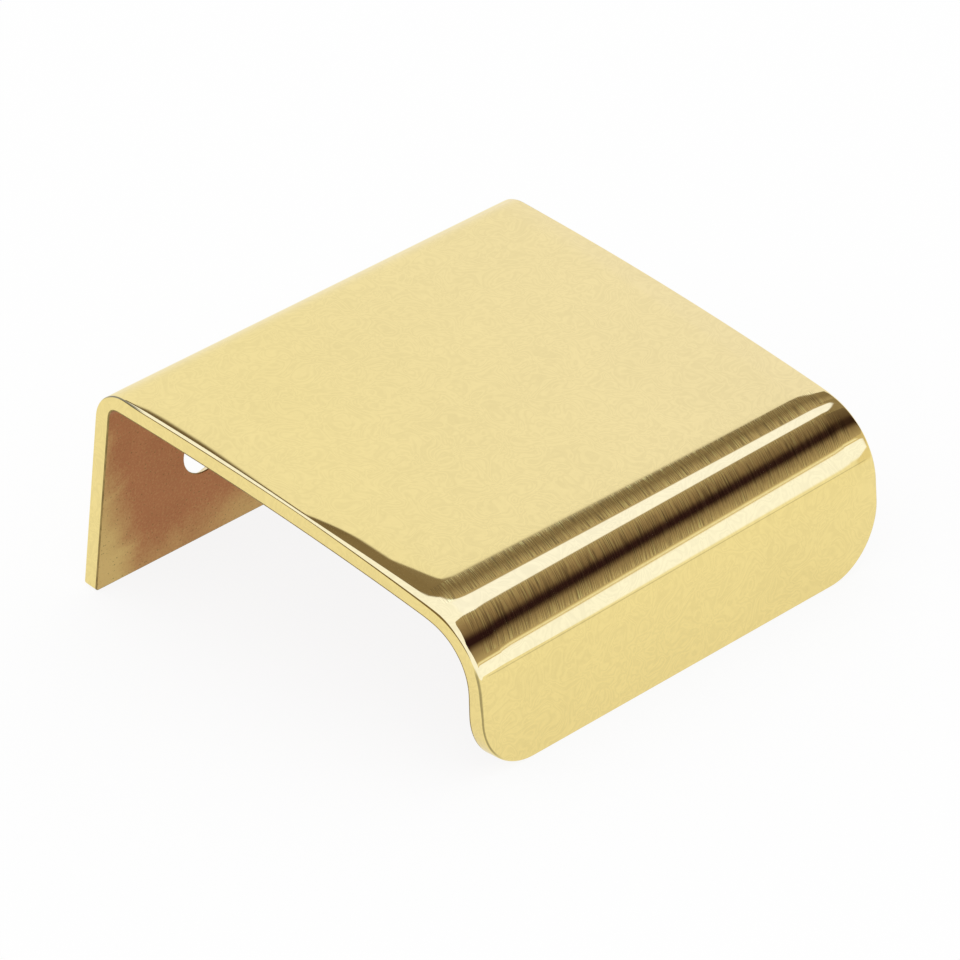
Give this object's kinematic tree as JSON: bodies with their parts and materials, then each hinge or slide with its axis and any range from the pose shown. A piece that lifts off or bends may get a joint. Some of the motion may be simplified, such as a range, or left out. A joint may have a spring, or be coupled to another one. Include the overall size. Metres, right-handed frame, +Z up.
{
  "type": "tab pull",
  "caption": "Polished brass tab pull for a door or drawer edge, folded from one strip: rear screw flange, flat plate and rolled front lip with rounded corners.",
  "frame": {"origin": "midway between the two screw holes, on the flange's inner face, which lies against the back of the panel", "axes": "+X along the folds, -Y forwards from the flange to the lip, +Z up with the plate on top"},
  "size_m": [0.045, 0.044, 0.02],
  "materials": {
    "brass": "polished, with fine buffing marks round the front fold"
  },
  "bodies": {
    "root": {"tab_pull": "brass"}
  },
  "joints": []
}
